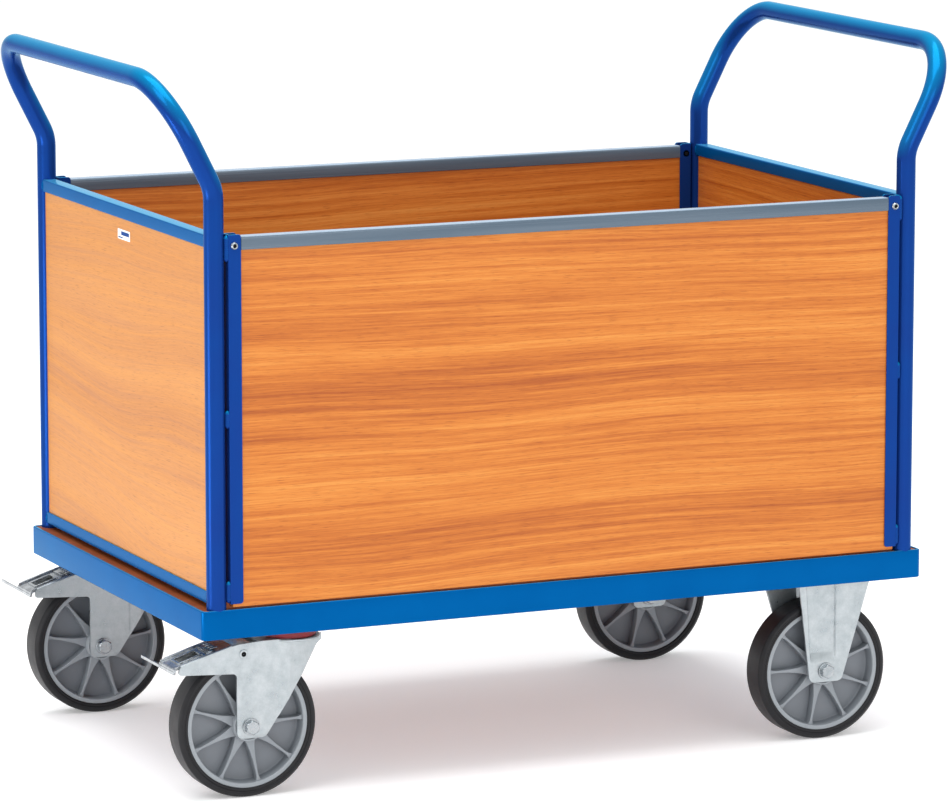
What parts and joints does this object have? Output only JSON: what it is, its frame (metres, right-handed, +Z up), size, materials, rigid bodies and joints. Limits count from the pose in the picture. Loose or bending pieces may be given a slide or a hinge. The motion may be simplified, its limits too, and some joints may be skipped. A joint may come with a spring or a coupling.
{
  "type": "platform trolley",
  "caption": "Platform trolley with a tall open-top box of beech panels, a tubular push handle at each end, braked swivel casters and rigid casters.",
  "frame": {"origin": "on the floor, under the middle of the deck in plan", "axes": "+X towards the fixed-wheel end, +Y towards the rear side wall, +Z up"},
  "size_m": [1.213, 0.7265, 0.9925],
  "materials": {
    "blue_paint": "semi-gloss powder coat",
    "beech_panel": "clear lacquered beech ply",
    "beech_deck": "clear lacquered beech ply, deeper tone",
    "zinc_steel": "zinc plated pressed steel",
    "bolt_steel": "bright zinc plated",
    "wheel_plastic": "moulded grey nylon",
    "tyre_rubber": "satin solid rubber",
    "seal_rubber": "matte",
    "label_face": "blank plate"
  },
  "bodies": {
    "trolley": {"deck_rail_front": "blue_paint", "deck_rail_rear": "blue_paint", "deck_rail_right": "blue_paint", "deck_rail_left": "blue_paint", "cross_bearer_1": "blue_paint", "cross_bearer_2": "blue_paint", "cross_bearer_3": "blue_paint", "cross_bearer_4": "blue_paint", "cross_bearer_5": "blue_paint", "deck_board": "beech_deck", "push_handle_left": "blue_paint", "push_handle_right": "blue_paint", "top_rail_left": "blue_paint", "top_rail_right": "blue_paint", "low_rail_left": "blue_paint", "low_rail_right": "blue_paint", "end_panel_left": "beech_panel", "end_panel_right": "beech_panel", "side_panel_front": "beech_panel", "side_panel_rear": "beech_panel", "corner_channel_front_left": "blue_paint", "corner_channel_front_right": "blue_paint", "corner_channel_rear_left": "blue_paint", "corner_channel_rear_right": "blue_paint", "side_cap_front": "zinc_steel", "side_cap_rear": "zinc_steel", "wall_fasteners": "bolt_steel", "caster_fasteners": "bolt_steel", "label_plate": "label_face", "swivel_plate_front": "zinc_steel", "fixed_fork_front": "zinc_steel", "king_bolt_front": "bolt_steel", "fixed_axle_front": "bolt_steel", "swivel_plate_rear": "zinc_steel", "fixed_fork_rear": "zinc_steel", "king_bolt_rear": "bolt_steel", "fixed_axle_rear": "bolt_steel"},
    "swivel_front": {"swivel_fork_front": "zinc_steel", "swivel_seal_front": "seal_rubber", "swivel_axle_front": "bolt_steel", "brake_rivets_front": "bolt_steel"},
    "pedal_front": {"brake_pedal_front": "zinc_steel"},
    "wheel_swivel_front": {"tyre_swivel_front": "tyre_rubber", "wheel_centre_swivel_front": "wheel_plastic", "bearing_swivel_front": "bolt_steel"},
    "wheel_fixed_front": {"tyre_fixed_front": "tyre_rubber", "wheel_centre_fixed_front": "wheel_plastic", "bearing_fixed_front": "bolt_steel"},
    "swivel_rear": {"swivel_fork_rear": "zinc_steel", "swivel_seal_rear": "seal_rubber", "swivel_axle_rear": "bolt_steel", "brake_rivets_rear": "bolt_steel"},
    "pedal_rear": {"brake_pedal_rear": "zinc_steel"},
    "wheel_swivel_rear": {"tyre_swivel_rear": "tyre_rubber", "wheel_centre_swivel_rear": "wheel_plastic", "bearing_swivel_rear": "bolt_steel"},
    "wheel_fixed_rear": {"tyre_fixed_rear": "tyre_rubber", "wheel_centre_fixed_rear": "wheel_plastic", "bearing_fixed_rear": "bolt_steel"}
  },
  "joints": [
    {"name": "swivel_turn_front", "type": "hinge", "parent": "trolley", "child": "swivel_front", "pos_m": [-0.4, -0.287, 0.2], "axis": [0, 0, 1], "continuous": true},
    {"name": "wheel_spin_swivel_front", "type": "hinge", "parent": "swivel_front", "child": "wheel_swivel_front", "pos_m": [-0.468, -0.287, 0.1], "axis": [0, 1, 0], "continuous": true},
    {"name": "brake_press_front", "type": "hinge", "parent": "swivel_front", "child": "pedal_front", "pos_m": [-0.478, -0.287, 0.201], "axis": [0, -1, 0], "range_deg": [0, 10]},
    {"name": "wheel_spin_fixed_front", "type": "hinge", "parent": "trolley", "child": "wheel_fixed_front", "pos_m": [0.406, -0.287, 0.1], "axis": [0, 1, 0], "continuous": true},
    {"name": "swivel_turn_rear", "type": "hinge", "parent": "trolley", "child": "swivel_rear", "pos_m": [-0.4, 0.287, 0.2], "axis": [0, 0, 1], "continuous": true},
    {"name": "wheel_spin_swivel_rear", "type": "hinge", "parent": "swivel_rear", "child": "wheel_swivel_rear", "pos_m": [-0.468, 0.287, 0.1], "axis": [0, 1, 0], "continuous": true},
    {"name": "brake_press_rear", "type": "hinge", "parent": "swivel_rear", "child": "pedal_rear", "pos_m": [-0.478, 0.287, 0.201], "axis": [0, -1, 0], "range_deg": [0, 10]},
    {"name": "wheel_spin_fixed_rear", "type": "hinge", "parent": "trolley", "child": "wheel_fixed_rear", "pos_m": [0.406, 0.287, 0.1], "axis": [0, 1, 0], "continuous": true}
  ]
}
